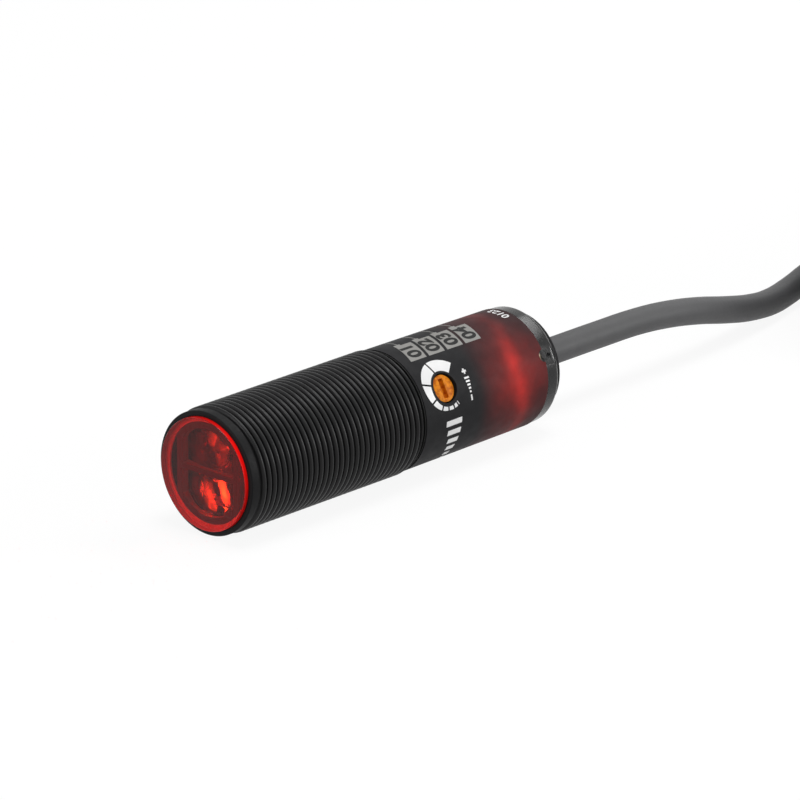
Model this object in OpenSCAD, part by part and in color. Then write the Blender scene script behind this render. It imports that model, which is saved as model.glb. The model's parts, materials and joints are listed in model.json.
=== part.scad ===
// Cylindrical photoelectric sensor with a threaded barrel and a fixed cable.
// The body lies along Y on the floor z = 0: the window looks towards -Y and the cable leaves towards +Y.

/* [Thread and barrel] */
// Outside diameter of the thread
thread_d = 18; // [16:0.5:24]
// Distance from one ridge to the next
thread_pitch = 1; // [0.9:0.1:1.5]
// Depth from crest to root
thread_depth = 0.6; // [0.4:0.05:0.7]
// Width of the flat on each crest
crest_flat = 0.25; // [0.1:0.05:0.3]
// Length of the threaded stretch
thread_len = 32; // [26:1:45]
// Wall of the barrel under the thread
barrel_wall = 1.2; // [0.8:0.1:1.5]
// Plain land between the front ring and the thread
front_land = 0.3; // [0.3:0.1:1.5]
// Plain land between the thread and the rear sleeve
rear_land = 0.3; // [0.3:0.1:1.5]

/* [Window and front ring] */
// How far the ring lies inside the thread's crest
ring_step = 0.2; // [0.1:0.05:0.5]
// Length of the barrel's neck inside the front ring
neck_len = 0.2; // [0.2:0.05:1]
// Wall of the front ring
ring_wall = 0.75; // [0.5:0.05:0.9]
// Rounding of the front ring's edge
ring_round = 0.2; // [0.1:0.05:0.4]
// Thickness of the window
window_t = 1.5; // [1.2:0.1:1.8]
// How far the window stands in front of the ring
window_proud = 0.65; // [0.3:0.05:0.9]
// Rounding of the window's front edge
window_round = 0.1; // [0.05:0.05:0.3]
// Thickness of the seal behind the window
window_seal_t = 0.3; // [0.2:0.05:0.4]

/* [Optics] */
// Length of the lens holder
holder_len = 10; // [8:0.5:12]
// Depth of the flats on the holder's two sides
holder_flat = 1.35; // [1:0.05:1.5]
// Wall of the holder beside the lens pockets
pocket_side = 1; // [0.8:0.1:1.2]
// Wall of the holder at the pockets' round ends
pocket_end = 0.95; // [0.7:0.05:1.1]
// Depth of the pockets from the holder's front
pocket_depth = 2.4; // [2:0.1:3]
// Thickness of the wall between the pockets
partition_t = 0.8; // [0.5:0.1:1]
// Width of the ledge that the lenses rest on
pocket_ledge = 0.1; // [0.1:0.05:0.3]
// Thickness of a lens at its rim
lens_rim_t = 1.3; // [0.8:0.1:1.4]
// Height of the lens dome
lens_dome_h = 0.74; // [0.3:0.02:0.76]
// Side of the emitter's and receiver's packages
optic_chip_side = 3; // [2.4:0.1:3.2]
// Height of the emitter's and receiver's packages
optic_chip_h = 1.1; // [0.8:0.1:1.4]
// Radius of the emitter's dome
emitter_dome_r = 1.1; // [0.8:0.1:1.2]

/* [Boards] */
// Thickness of both boards
board_t = 1; // [0.8:0.1:1.1]
// Room between the optics board and the barrel
board_edge_gap = 0.4; // [0.2:0.1:0.8]
// Room between the main board and the sleeve's spigot
board_side_gap = 0.25; // [0.15:0.05:0.5]
// Room between the cable and the main board above it
board_cable_gap = 0.3; // [0.2:0.05:0.4]
// Side of the amplifier chip
amplifier_side = 4; // [3:0.1:4.2]
// Height of the amplifier chip
amplifier_h = 1; // [0.8:0.1:1.2]
// Room between the amplifier and its shield
shield_gap = 0.55; // [0.4:0.05:0.7]
// Wall of the amplifier's shield
shield_wall = 0.25; // [0.2:0.05:0.3]
// Height of a chip package on the main board
package_h = 1.5; // [1:0.1:1.6]
// Length of the logic chip
logic_len = 5; // [4:0.1:6]
// Width of the logic chip
logic_w = 4; // [3:0.1:4.4]
// Reach of the legs beside a package
leg_reach = 1; // [0.6:0.1:1.2]
// Thickness of the legs
leg_t = 0.3; // [0.2:0.05:0.4]
// Length of the output transistor
transistor_len = 3.5; // [3:0.1:4]
// Length of the protection diode
diode_len = 2.6; // [2:0.1:3]
// Length of the smoothing capacitor
capacitor_len = 3.2; // [2.6:0.1:3.5]
// Length of a small chip part
chip_len = 2; // [1.6:0.1:2.2]
// Width of a small chip part
chip_w = 1.25; // [0.8:0.05:1.4]
// Height of a small chip part
chip_h = 0.6; // [0.4:0.05:0.8]
// Length of an indicator lamp
lamp_len = 3; // [2.4:0.1:3.2]
// Radius of an indicator lamp's dome
lamp_dome_r = 0.8; // [0.6:0.05:0.9]

/* [Rear sleeve] */
// Length of the sleeve behind the barrel
sleeve_len = 27.7; // [25:0.1:40]
// How far the sleeve's front lies inside the thread's crest
sleeve_step = 0.32; // [0.2:0.02:0.5]
// How much the sleeve narrows to its rear
sleeve_draft = 0.2; // [0:0.02:0.3]
// Wall of the sleeve
sleeve_wall = 1.48; // [1.2:0.02:1.6]
// Wall of the sleeve round the plug
rim_wall = 0.93; // [0.8:0.01:1.2]
// Rounding of the sleeve's rear rim
rim_round = 0.9; // [0.4:0.1:0.9]
// Length of the spigot that goes into the barrel
spigot_len = 5; // [4:0.5:8]
// Wall of the spigot
spigot_wall = 0.95; // [0.8:0.05:1.1]
// Width of the seal ring on the spigot
sleeve_seal_w = 1.2; // [0.8:0.1:1.6]
// Depth of the seal ring's groove
sleeve_seal_depth = 0.45; // [0.3:0.05:0.5]

/* [Label] */
// Thickness of the label film
label_t = 0.1; // [0.05:0.01:0.15]
// Bare sleeve in front of the label
label_front_gap = 0.2; // [0.2:0.1:1]
// Bare rim behind the label
rim_len = 2.7; // [2:0.1:4]
// Radius of the notch in the label's rear edge
notch_r = 0.9; // [0.5:0.1:1.2]
// Angle of the notch round the axis, from +X towards +Z
notch_angle = 26; // [0:1:60]
// Radius of the pip in the notch
pip_r = 0.45; // [0.3:0.05:0.45]

/* [Adjuster] */
// Distance of the adjuster behind the sleeve's front
adjuster_setback = 5; // [4:0.1:8]
// Angle of the adjuster round the axis, from +X towards +Z
adjuster_angle = 28.5; // [0:0.5:60]
// Diameter of the adjuster's head
adjuster_d = 3.9; // [3.5:0.05:4.2]
// Room round the adjuster's head
adjuster_gap = 0.2; // [0.15:0.05:0.3]
// Height of the adjuster's head
adjuster_head_h = 2.57; // [2.4:0.01:2.8]
// Depth of the head below the label
adjuster_recess = 0.45; // [0.3:0.05:0.6]
// Diameter of the adjuster's stem
adjuster_stem_d = 2; // [1.6:0.1:2.4]
// Width of the screwdriver slot
slot_w = 0.8; // [0.6:0.05:1]
// Length of the screwdriver slot
slot_len = 2.8; // [2:0.1:3.1]
// Depth of the screwdriver slot
slot_depth = 0.6; // [0.4:0.05:0.8]
// Cord diameter of the adjuster's seal ring
adjuster_seal_d = 0.65; // [0.55:0.05:0.7]
// Wall of the boss round the adjuster
boss_wall = 1; // [0.8:0.1:1.2]
// Side of the trimmer base
trimmer_side = 4.6; // [4:0.1:4.8]
// Floor of the trimmer base under the stem
trimmer_floor = 0.4; // [0.3:0.05:0.6]

/* [Rear plug and cable] */
// Length of the plug inside the sleeve
plug_len = 4.8; // [4:0.1:6]
// How far the plug stands out of the sleeve
plug_proud = 1.1; // [0.4:0.1:1.4]
// Thickness of the plug in front of the bush
plug_web = 0.8; // [0.6:0.1:1.2]
// Thickness of the plug's two prongs, which carry the board's end
prong_t = 1; // [0.8:0.1:1.2]
// Width of a prong
prong_w = 2; // [1.5:0.1:2.2]
// Wall of the rubber bush round the cable
bush_wall = 0.95; // [0.7:0.05:1.5]
// Diameter of the cable
cable_d = 4; // [3.6:0.1:4.4]
// Length of the clamp on the cable
clamp_len = 2; // [1.5:0.1:2.5]
// Wall of the clamp
clamp_wall = 0.55; // [0.4:0.05:0.7]
// Diameter of one core of the cable
core_d = 1.1; // [0.9:0.05:1.2]
// Length of the stripped cores
core_len = 44; // [30:1:48]
// Length of the tinned tip on each core
tip_len = 6; // [4:0.5:8]
// Diameter of the tinned tip
tip_d = 0.6; // [0.4:0.05:0.8]

/* [Cable hank] */
// Length of the straight runs
hank_run = 72; // [60:0.5:76]
// Radius of the innermost fold
hank_inner_r = 12; // [11:0.5:13]
// Gap between turns that lie side by side
hank_turn_gap = 0.75; // [0.7:0.05:1.2]
// Gap between layers
hank_layer_gap = 0.5; // [0.45:0.05:0.8]
// How far the runs are drawn in at the waist
hank_waist = 6; // [0:0.5:6.5]
// Thickness of the tie
tie_t = 1; // [0.8:0.1:1.4]
// Width of the tie
tie_w = 3.6; // [2.5:0.1:5]
// Side of the tie's head
tie_head = 4; // [3:0.1:4.5]
// Room between the tie and the hank
tie_gap = 0.25; // [0.2:0.05:0.5]

/* [Hidden] */
$fn = 96;
// Room between pieces that are fitted together
fit_gap = 0.05;
// Running room between turning pieces
run_gap = 0.05;
// Overshoot of a cut past the face that it opens
over = 1;

// Radii, each inside the one before by a named wall or step
thread_r = thread_d / 2;
root_r = thread_r - thread_depth;
ring_r = thread_r - ring_step;
ring_bore_r = ring_r - ring_wall;
window_r = ring_bore_r - fit_gap;
bore_r = root_r - barrel_wall;
insert_r = bore_r - fit_gap;
holder_side = insert_r - holder_flat;
pocket_half_w = holder_side - pocket_side;
pocket_r = insert_r - pocket_end;
optic_offset = pocket_r / 2;
light_tube_r = optic_offset - partition_t / 2 - pocket_ledge;
sleeve_front_r = thread_r - sleeve_step;
sleeve_rear_r = sleeve_front_r - sleeve_draft;
sleeve_bore_r = sleeve_front_r - sleeve_wall;
spigot_bore_r = insert_r - spigot_wall;
plug_seat_r = sleeve_rear_r - rim_wall;
plug_r = plug_seat_r - fit_gap;
cable_r = cable_d / 2;
cable_hole_r = cable_r + fit_gap;
bush_r = cable_hole_r + bush_wall;
clamp_r = cable_hole_r + clamp_wall;
core_offset = 0.4 * cable_r;

// Distances along the axis, counted from the window's front face
seat_s = window_t + window_seal_t;
ring_back = seat_s + neck_len;
thread_start = ring_back + front_land;
thread_end = thread_start + thread_len;
barrel_end = thread_end + rear_land;
sleeve_end = barrel_end + sleeve_len;
body_len = sleeve_end + plug_proud;
holder_end = window_t + holder_len;
pocket_floor = window_t + pocket_depth;
board_front = holder_end + board_t;
plug_front = sleeve_end - plug_len;
clamp_front = plug_front - clamp_len;
board_end = clamp_front - 2 * fit_gap;
board_len = board_end - board_front;
tail_start = clamp_front - clamp_len / 4;
label_start = barrel_end + label_front_gap;
label_end = sleeve_end - rim_len;
adjuster_s = barrel_end + adjuster_setback;
spigot_start = barrel_end - spigot_len;
spigot_shoulder = barrel_end + spigot_wall;
sleeve_seal_s = spigot_start + spigot_len / 3;

// Radius of the sleeve and of the label at a distance from the front
function sleeve_r(s) = sleeve_front_r - sleeve_draft * (s - barrel_end) / sleeve_len;
function label_r(s) = sleeve_r(s) + fit_gap / 2 + label_t;

// Heights above the axis of the main board and what stands on it
board_low = cable_r + board_cable_gap;
board_top = board_low + board_t;
board_half_w = sqrt(spigot_bore_r * spigot_bore_r - board_top * board_top) - board_side_gap;
adjuster_top = label_r(adjuster_s) - adjuster_recess;
adjuster_foot = adjuster_top - adjuster_head_h;
trimmer_top = adjuster_foot - 3 * run_gap;
boss_foot = adjuster_foot + boss_wall / 4;
adjuster_hole_r = adjuster_d / 2 + adjuster_gap;
seal_outer_r = adjuster_hole_r - 0.6 * run_gap;
seal_groove_r = seal_outer_r - adjuster_seal_d - fit_gap / 2;
seal_groove_w = adjuster_seal_d + 2 * fit_gap;
seal_height = adjuster_foot + 0.43 * adjuster_head_h;

// Turns a piece drawn round Z, with its front at z = 0, so that it lies along Y
module lay_down() {
    translate([0, -body_len / 2, thread_r]) rotate([-90, 0, 0]) children();
}

// Turns +X of the upright drawing to an angle round the axis, from the side towards the top
module facing(angle) {
    rotate([0, 0, -angle]) children();
}

// The main board and what it carries face the adjuster's hole
module on_board() {
    lay_down() facing(adjuster_angle) children();
}

// A tube between two distances from the front
module tube(from, to, r_out, r_in) {
    difference() {
        translate([0, 0, from]) cylinder(h = to - from, r = r_out);
        translate([0, 0, from - over]) cylinder(h = to - from + 2 * over, r = r_in);
    }
}

// A quarter round from the face at s to the side at r, as [radius, distance] points
function front_round(r, s, size, steps = 6) =
    [for (i = [0:steps]) let(a = 90 * i / steps)
        [r - size * (1 - sin(a)), s + size * (1 - cos(a))]];
function rear_round(r, s, size, steps = 8) =
    [for (i = [0:steps]) let(a = 90 * i / steps)
        [r - size * (1 - cos(a)), s - size * (1 - sin(a))]];

// A box that stands on the board's upper face, centred on a place along and across the board
module standing_box(s, across, length, width, height) {
    translate([board_top, across - width / 2, s - length / 2]) cube([height, width, length]);
}

// A box that hangs from the board's lower face
module hanging_box(s, across, length, width, height) {
    translate([board_low - height, across - width / 2, s - length / 2])
        cube([height, width, length]);
}

// Window and front ring

module front_window() {
    color("red") lay_down()
        rotate_extrude()
            polygon(concat([[0, 0]], front_round(window_r, 0, window_round),
                [[window_r, window_t], [0, window_t]]));
}

module window_seal() {
    color("gainsboro") lay_down()
        tube(window_t, seat_s, window_r, bore_r);
}

module front_ring() {
    color("black") lay_down()
        rotate_extrude()
            polygon(concat([[ring_bore_r, window_proud]],
                front_round(ring_r, window_proud, ring_round),
                [[ring_r, ring_back], [ring_bore_r, ring_back]]));
}

// Threaded barrel

ridge_flank = thread_depth * tan(30);
ridge_count = floor(thread_len / thread_pitch);

function ridge(s) = [
    [root_r, s],
    [thread_r, s + ridge_flank],
    [thread_r, s + ridge_flank + crest_flat],
    [root_r, s + 2 * ridge_flank + crest_flat]
];

module threaded_barrel() {
    ridges = [for (i = [0:ridge_count - 1]) each ridge(thread_start + i * thread_pitch)];
    color("black") lay_down()
        rotate_extrude()
            polygon(concat(
                [[bore_r, seat_s], [window_r, seat_s], [window_r, ring_back], [root_r, ring_back]],
                ridges,
                [[root_r, barrel_end], [bore_r, barrel_end]]));
}

// Lens holder and lenses

// The outline of one lens pocket, drawn in by a clearance
module pocket_outline(clearance) {
    intersection() {
        circle(r = pocket_r - clearance);
        translate([-pocket_half_w + clearance, -pocket_r - over])
            square([2 * (pocket_half_w - clearance), pocket_r + over - partition_t / 2 - clearance]);
    }
}

// The upper place is drawn as it is, the lower one turned over
module at_receiver() {
    children();
}
module at_emitter() {
    rotate([0, 0, 180]) children();
}

module lens_holder() {
    color("dimgray") lay_down()
        difference() {
            intersection() {
                translate([0, 0, window_t]) cylinder(h = holder_len, r = insert_r);
                translate([-holder_side, -thread_r, window_t])
                    cube([2 * holder_side, thread_d, holder_len]);
            }
            for (turn = [0, 180])
                rotate([0, 0, turn]) {
                    translate([0, 0, window_t - over])
                        linear_extrude(pocket_depth + over) pocket_outline(0);
                    translate([0, -optic_offset, pocket_floor - over])
                        cylinder(h = holder_len + over, r = light_tube_r);
                }
        }
}

// A lens seated on the floor of its pocket, with its dome towards the window
module pocket_lens() {
    intersection() {
        translate([0, 0, window_t]) linear_extrude(pocket_depth) pocket_outline(fit_gap);
        union() {
            translate([0, 0, pocket_floor - lens_rim_t])
                cylinder(h = lens_rim_t, r = pocket_r);
            translate([0, -optic_offset, pocket_floor - lens_rim_t])
                lens_dome();
        }
    }
}

// The cap of a sphere that rises towards the front over the width of a pocket
module lens_dome() {
    dome_r = (pocket_half_w * pocket_half_w + lens_dome_h * lens_dome_h) / (2 * lens_dome_h);
    difference() {
        translate([0, 0, dome_r - lens_dome_h]) sphere(r = dome_r);
        translate([0, 0, lens_rim_t / 2]) cylinder(h = 3 * dome_r, r = 2 * dome_r);
    }
}

module receiver_lens() {
    color("whitesmoke") lay_down() at_receiver() pocket_lens();
}

module emitter_lens() {
    color("whitesmoke") lay_down() at_emitter() pocket_lens();
}

// A square package on the front of the optics board, in its light tube
module optic_chip() {
    translate([-optic_chip_side / 2, -optic_offset - optic_chip_side / 2, holder_end - optic_chip_h])
        cube([optic_chip_side, optic_chip_side, optic_chip_h]);
}

module receiver_photodiode() {
    color("darkslategray") lay_down() at_receiver()
        optic_chip();
}

module emitter_led() {
    color("orangered") lay_down() at_emitter()
        union() {
            optic_chip();
            translate([0, -optic_offset, holder_end - optic_chip_h]) sphere(r = emitter_dome_r);
        }
}

// Boards and what they carry

module optics_board() {
    color("seagreen") lay_down()
        translate([0, 0, holder_end]) cylinder(h = board_t, r = bore_r - board_edge_gap);
}

// Where the amplifier sits: on the rear of the optics board, below the main board
shield_side = amplifier_side + 2 * (shield_gap + shield_wall);
shield_h = amplifier_h + shield_gap + shield_wall;
module at_amplifier() {
    translate([board_low - shield_side / 2 - shield_gap, 0, board_front]) children();
}

module amplifier_chip() {
    color("black") on_board() at_amplifier()
        translate([-amplifier_side / 2, -amplifier_side / 2, 0])
            cube([amplifier_side, amplifier_side, amplifier_h]);
}

module amplifier_shield() {
    inner = shield_side - 2 * shield_wall;
    color("silver") on_board() at_amplifier()
        difference() {
            translate([-shield_side / 2, -shield_side / 2, 0])
                cube([shield_side, shield_side, shield_h]);
            translate([-inner / 2, -inner / 2, -over])
                cube([inner, inner, shield_h - shield_wall + over]);
        }
}

module main_board() {
    color("seagreen") on_board()
        translate([board_low, -board_half_w, board_front])
            cube([board_t, 2 * board_half_w, board_len]);
}

// A package with two rows of legs
module legged_package(s, length, width, legs) {
    leg_pitch = length / legs;
    standing_box(s, 0, length, width, package_h);
    for (i = [0:legs - 1])
        standing_box(s + (i + 0.5) * leg_pitch - length / 2, 0, leg_pitch / 3,
            width + 2 * leg_reach, leg_t);
}

// A place along the main board, as a share of its length
function board_s(share) = board_front + share * board_len;
operation_s = board_end - 0.6 * lamp_len;
stability_s = operation_s - 1.2 * lamp_len;

module logic_chip() {
    color("black") on_board() legged_package(board_s(0.21), logic_len, logic_w, 4);
}

module output_transistor() {
    color("black") on_board() legged_package(board_s(0.37), transistor_len, logic_w * 0.75, 2);
}

module protection_diode() {
    color("black") on_board()
        standing_box(board_s(0.07), 0, diode_len, logic_w, package_h * 0.8);
}

module smoothing_capacitor() {
    color("goldenrod") on_board()
        standing_box((adjuster_s + stability_s) / 2, 0, capacitor_len, logic_w * 0.75, package_h);
}

// Chip resistors along one edge of the board's lower face
module board_resistors() {
    color("black") on_board()
        for (i = [0:5])
            hanging_box(board_s(0.14 + 0.095 * i), board_half_w - 1.3 * chip_w, chip_len, chip_w, chip_h);
}

// Chip capacitors along the other edge
module board_capacitors() {
    color("tan") on_board()
        for (i = [0:4])
            hanging_box(board_s(0.16 + 0.115 * i), 1.3 * chip_w - board_half_w, chip_len, chip_w,
                chip_h * 1.5);
}

// A lamp with its dome, which lights the sleeve from inside
module lamp(s) {
    base_h = 1.1 * lamp_dome_r;
    standing_box(s, 0, lamp_len, lamp_len * 2 / 3, base_h);
    translate([board_top + base_h, 0, s]) sphere(r = lamp_dome_r);
}

module operation_lamp() {
    color("red") on_board() lamp(operation_s);
}

module stability_lamp() {
    color("limegreen") on_board() lamp(stability_s);
}

// Sensitivity adjuster

// Drawn along Z, with z as the height above the sensor's axis
module at_adjuster() {
    on_board() translate([0, 0, adjuster_s]) rotate([0, 90, 0]) children();
}

stem_foot = board_top + trimmer_floor + 2 * run_gap;

module trimmer_base() {
    color("royalblue") at_adjuster()
        difference() {
            translate([-trimmer_side / 2, -trimmer_side / 2, board_top])
                cube([trimmer_side, trimmer_side, trimmer_top - board_top]);
            translate([0, 0, board_top + trimmer_floor])
                cylinder(h = trimmer_top, r = adjuster_stem_d / 2 + run_gap);
        }
}

module sensitivity_adjuster() {
    color("darkorange") at_adjuster()
        difference() {
            union() {
                translate([0, 0, adjuster_foot]) cylinder(h = adjuster_head_h, d = adjuster_d);
                translate([0, 0, stem_foot])
                    cylinder(h = seal_height - stem_foot, d = adjuster_stem_d);
            }
            translate([0, 0, seal_height - seal_groove_w / 2])
                difference() {
                    cylinder(h = seal_groove_w, d = adjuster_d + over);
                    translate([0, 0, -over])
                        cylinder(h = seal_groove_w + 2 * over, r = seal_groove_r);
                }
            translate([-slot_w / 2, -slot_len / 2, adjuster_top - slot_depth])
                cube([slot_w, slot_len, slot_depth + over]);
        }
}

module adjuster_seal() {
    color("black") at_adjuster()
        translate([0, 0, seal_height])
            rotate_extrude()
                translate([seal_outer_r - adjuster_seal_d / 2, 0])
                    circle(d = adjuster_seal_d, $fn = 24);
}

// Rear sleeve and label

module adjuster_hole() {
    facing(adjuster_angle) translate([0, 0, adjuster_s]) rotate([0, 90, 0])
        cylinder(h = thread_d, r = adjuster_hole_r);
}

module sleeve_shell() {
    difference() {
        rotate_extrude()
            polygon(concat(
                [[0, barrel_end], [sleeve_front_r, barrel_end],
                    [sleeve_r(sleeve_end - rim_round), sleeve_end - rim_round]],
                rear_round(sleeve_r(sleeve_end - rim_round), sleeve_end, rim_round),
                [[0, sleeve_end]]));
        translate([0, 0, spigot_shoulder])
            cylinder(h = sleeve_end - spigot_shoulder + over, r = sleeve_bore_r);
        translate([0, 0, barrel_end - over])
            cylinder(h = sleeve_end, r = spigot_bore_r);
        translate([0, 0, plug_front])
            cylinder(h = plug_len + over, r = plug_seat_r);
    }
}

module spigot() {
    difference() {
        tube(spigot_start, spigot_shoulder, insert_r, spigot_bore_r);
        tube(sleeve_seal_s, sleeve_seal_s + sleeve_seal_w, thread_r, insert_r - sleeve_seal_depth);
    }
}

module rear_sleeve() {
    color("lightgray") lay_down()
        difference() {
            union() {
                sleeve_shell();
                spigot();
                facing(adjuster_angle) translate([boss_foot, 0, adjuster_s]) rotate([0, 90, 0])
                    cylinder(h = sleeve_bore_r - boss_foot + sleeve_wall / 3,
                        r = adjuster_hole_r + boss_wall);
                facing(notch_angle) translate([sleeve_r(label_end) - rim_wall / 4, 0, label_end])
                    rotate([0, 90, 0]) cylinder(h = rim_wall / 4 + label_t, r = pip_r, $fn = 32);
            }
            adjuster_hole();
        }
}

module sleeve_seal() {
    color("black") lay_down()
        tube(sleeve_seal_s + fit_gap, sleeve_seal_s + sleeve_seal_w - fit_gap,
            bore_r - fit_gap / 2, insert_r - sleeve_seal_depth + fit_gap / 2);
}

module label_film() {
    color("maroon") lay_down()
        difference() {
            rotate_extrude()
                polygon([
                    [label_r(label_start) - label_t, label_start], [label_r(label_start), label_start],
                    [label_r(label_end), label_end], [label_r(label_end) - label_t, label_end]]);
            adjuster_hole();
            facing(notch_angle) translate([0, 0, label_end]) rotate([0, 90, 0])
                cylinder(h = thread_d, r = notch_r, $fn = 32);
        }
}

// Rear plug and the cable inside it

module rear_plug() {
    prong_in = clamp_r + board_cable_gap;
    color("black") lay_down() {
        difference() {
            rotate_extrude()
                polygon(concat([[0, plug_front], [plug_r, plug_front]],
                    rear_round(plug_r, body_len, plug_proud / 4, 3), [[0, body_len]]));
            translate([0, 0, plug_front - over])
                cylinder(h = body_len, r = cable_hole_r);
            translate([0, 0, plug_front + plug_web])
                cylinder(h = body_len, r = bush_r + fit_gap);
        }
        facing(adjuster_angle)
            for (side = [-1, 1])
                translate([board_low - prong_t, side * (prong_in + prong_w / 2) - prong_w / 2,
                        board_end - over])
                    cube([prong_t, prong_w, plug_front - board_end + over + plug_web / 2]);
    }
}

module cable_bush() {
    color("dimgray") lay_down()
        tube(plug_front + plug_web, body_len, bush_r, cable_hole_r);
}

module cable_clamp() {
    color("silver") lay_down()
        tube(clamp_front, plug_front, clamp_r, cable_hole_r);
}

module cable_tail() {
    color("gray") lay_down()
        translate([0, 0, tail_start]) cylinder(h = body_len - tail_start, r = cable_r);
}

// Round tubes swept along points

function unit(v) = v / norm(v);
function tangents(path) = [for (i = [0:len(path) - 1])
    unit(path[min(i + 1, len(path) - 1)] - path[max(i - 1, 0)])];

module swept_tube(path, r, sides, up = [0, 0, 1]) {
    n = len(path);
    along = tangents(path);
    points = [for (i = [0:n - 1])
        let(across = unit(cross(along[i], up)), above = cross(across, along[i]))
        for (j = [0:sides - 1])
            path[i] + r * (cos(360 * j / sides) * across + sin(360 * j / sides) * above)];
    walls = [for (i = [0:n - 2]) for (j = [0:sides - 1])
        let(a = i * sides + j, b = i * sides + (j + 1) % sides)
        each [[a, b, b + sides], [a, b + sides, a + sides]]];
    last = (n - 1) * sides;
    caps = [for (j = [1:sides - 2])
        each [[j + 1, j, 0], [last, last + j, last + j + 1]]];
    polyhedron(points, concat(walls, caps), convexity = 10);
}

// Leads from the end of the cable to the lower face of the main board

core_colours = ["saddlebrown", "blue", "black", "white"];
core_places = [[-1, -1], [1, -1], [1, 1], [-1, 1]];
lead_spread = core_d + 0.9;
lead_across = lead_spread * [-1.5, -0.5, 0.5, 1.5];

module lead(i) {
    start = core_offset * core_places[i];
    pad_h = board_low - core_d / 2 - fit_gap / 2;
    color(core_colours[i]) on_board()
        swept_tube([
            [start[0], start[1], tail_start],
            [start[0], start[1], tail_start - 1.4 * core_d],
            [pad_h, lead_across[i], tail_start - 4.5 * core_d],
            [pad_h, lead_across[i], tail_start - 7.7 * core_d]
        ], core_d / 2, 8, [0, 1, 0]);
}

module lead_brown() { lead(0); }
module lead_blue() { lead(1); }
module lead_black() { lead(2); }
module lead_white() { lead(3); }

// The cable's free stretch, from the plug down to the floor and on to the hank

hank_centre_x = 14.5;
hank_near_y = 112;
cable_route = [
    [0, 40, 9], [0, 48, 9], [0, 56, 8.9], [-0.2, 63, 8.2], [-0.6, 70, 6.9], [-1.4, 77, 5.1],
    [-2.7, 84, 3.4], [-4.2, 90.5, 2.4], [-5.8, 96.5, 2.3]
];

// The hank: loops with straight runs that spiral in and out in layers, each climb along a run
hank_loops = 7.5;
loops_per_layer = 2;
rings_per_loop = 24;
run_share = 1 / 3;
hank_step = cable_d + hank_turn_gap;
hank_rise = cable_d + hank_layer_gap;
hank_outer_r = hank_inner_r + loops_per_layer * hank_step;
hank_floor = tie_t + tie_gap + cable_r;

function clamp01(x) = min(1, max(0, x));
function hank_layer(t) = floor(t / loops_per_layer);
function loops_in_layer(t) = t - loops_per_layer * hank_layer(t);
function hank_r(t) =
    hank_layer(t) % 2 == 0
        ? hank_outer_r - hank_step * loops_in_layer(t)
        : hank_inner_r + hank_step * loops_in_layer(t);
function hank_z(t) =
    let(climbed = clamp01(2 * loops_in_layer(t) / run_share))
    hank_floor + hank_rise * (hank_layer(t) == 0 ? 0 : hank_layer(t) - 1 + climbed);
function drawn_in(q) = hank_waist * (1 - cos(360 * q)) / 2;

// Place on the hank after t loops: a run with its waist, then the fold at its end
function hank_point(t) =
    let(half = floor(2 * t), part = 2 * t - half, side = half % 2 == 0 ? -1 : 1,
        q = part / run_share, a = 180 * (part - run_share) / (1 - run_share), r = hank_r(t),
        x = q <= 1 ? r - drawn_in(q) : r * cos(a),
        y = q <= 1 ? hank_run * (q - 0.5) : hank_run / 2 + r * sin(a))
    [hank_centre_x + side * x, hank_near_y + hank_run / 2 - side * y, hank_z(t)];

hank_start = hank_point(0) - [0, cable_d, 0];
hank_finish = hank_point(hank_loops) - [0, cable_d, 0];
hank_path = concat([hank_start],
    [for (i = [0:round(hank_loops * rings_per_loop)]) hank_point(i / rings_per_loop)],
    [hank_finish]);
free_path = concat([[0, body_len / 2, thread_r]], cable_route,
    [hank_start - [0, cable_d, 0], hank_start]);

function path_length(path) =
    [for (i = [1:len(path) - 1]) norm(path[i] - path[i - 1])] * [for (i = [1:len(path) - 1]) 1];

// Least gap between turns that are a third of a loop or more apart along the cable
apart = rings_per_loop / 3;
hank_gap = min([for (i = [0:len(hank_path) - 1 - apart]) for (j = [i + apart:len(hank_path) - 1])
    norm(hank_path[i] - hank_path[j])]) - cable_d;
echo(str("Least gap of the hank to itself, mm: ", hank_gap));
echo(str("Length of the cable outside the plug, mm: ", path_length(free_path) + path_length(hank_path)));

module supply_cable() {
    color("gray") swept_tube(free_path, cable_r, 10);
}

module cable_hank() {
    color("gray") swept_tube(hank_path, cable_r, 6);
}

// A tie round the waist of the hank, with its head at the side

module rounded_square(w, h, r) {
    translate([-w / 2 + r, -h / 2]) square([w - 2 * r, h]);
    translate([-w / 2, -h / 2 + r]) square([w, h - 2 * r]);
    for (x = [-1, 1]) for (y = [-1, 1])
        translate([x * (w / 2 - r), y * (h / 2 - r)]) circle(r = r, $fn = 32);
}

module cable_tie() {
    inside_w = 2 * (hank_outer_r - hank_waist + cable_r + tie_gap);
    inside_low = tie_t;
    inside_high = hank_floor + 3 * hank_rise + cable_r + tie_gap;
    inside_h = inside_high - inside_low;
    corner_r = 1.2;
    color("ivory")
        translate([hank_centre_x, hank_near_y + (hank_run + tie_w) / 2, inside_low + inside_h / 2])
            rotate([90, 0, 0]) {
                linear_extrude(tie_w)
                    difference() {
                        rounded_square(inside_w + 2 * tie_t, inside_h + 2 * tie_t, corner_r + tie_t);
                        rounded_square(inside_w, inside_h, corner_r);
                    }
                translate([inside_w / 2 + tie_t / 2, -tie_head / 2, (tie_w - tie_head) / 2])
                    cube([tie_head, tie_head, tie_head]);
            }
}

// Stripped cores, which lie along a run on the layer below

core_rest_z = hank_floor + 2 * hank_rise + cable_r + core_d / 2 + 3 * fit_gap;
core_pitch = core_d + 0.6;
core_spread = core_pitch * [-0.95, 2.05, 1.05, 0.05];
core_steps = 6;

// Where a core leaves the sheath, square to its end
function core_start(i) =
    hank_finish + [core_offset * core_places[i][0], 0, core_offset * core_places[i][1]];

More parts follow.
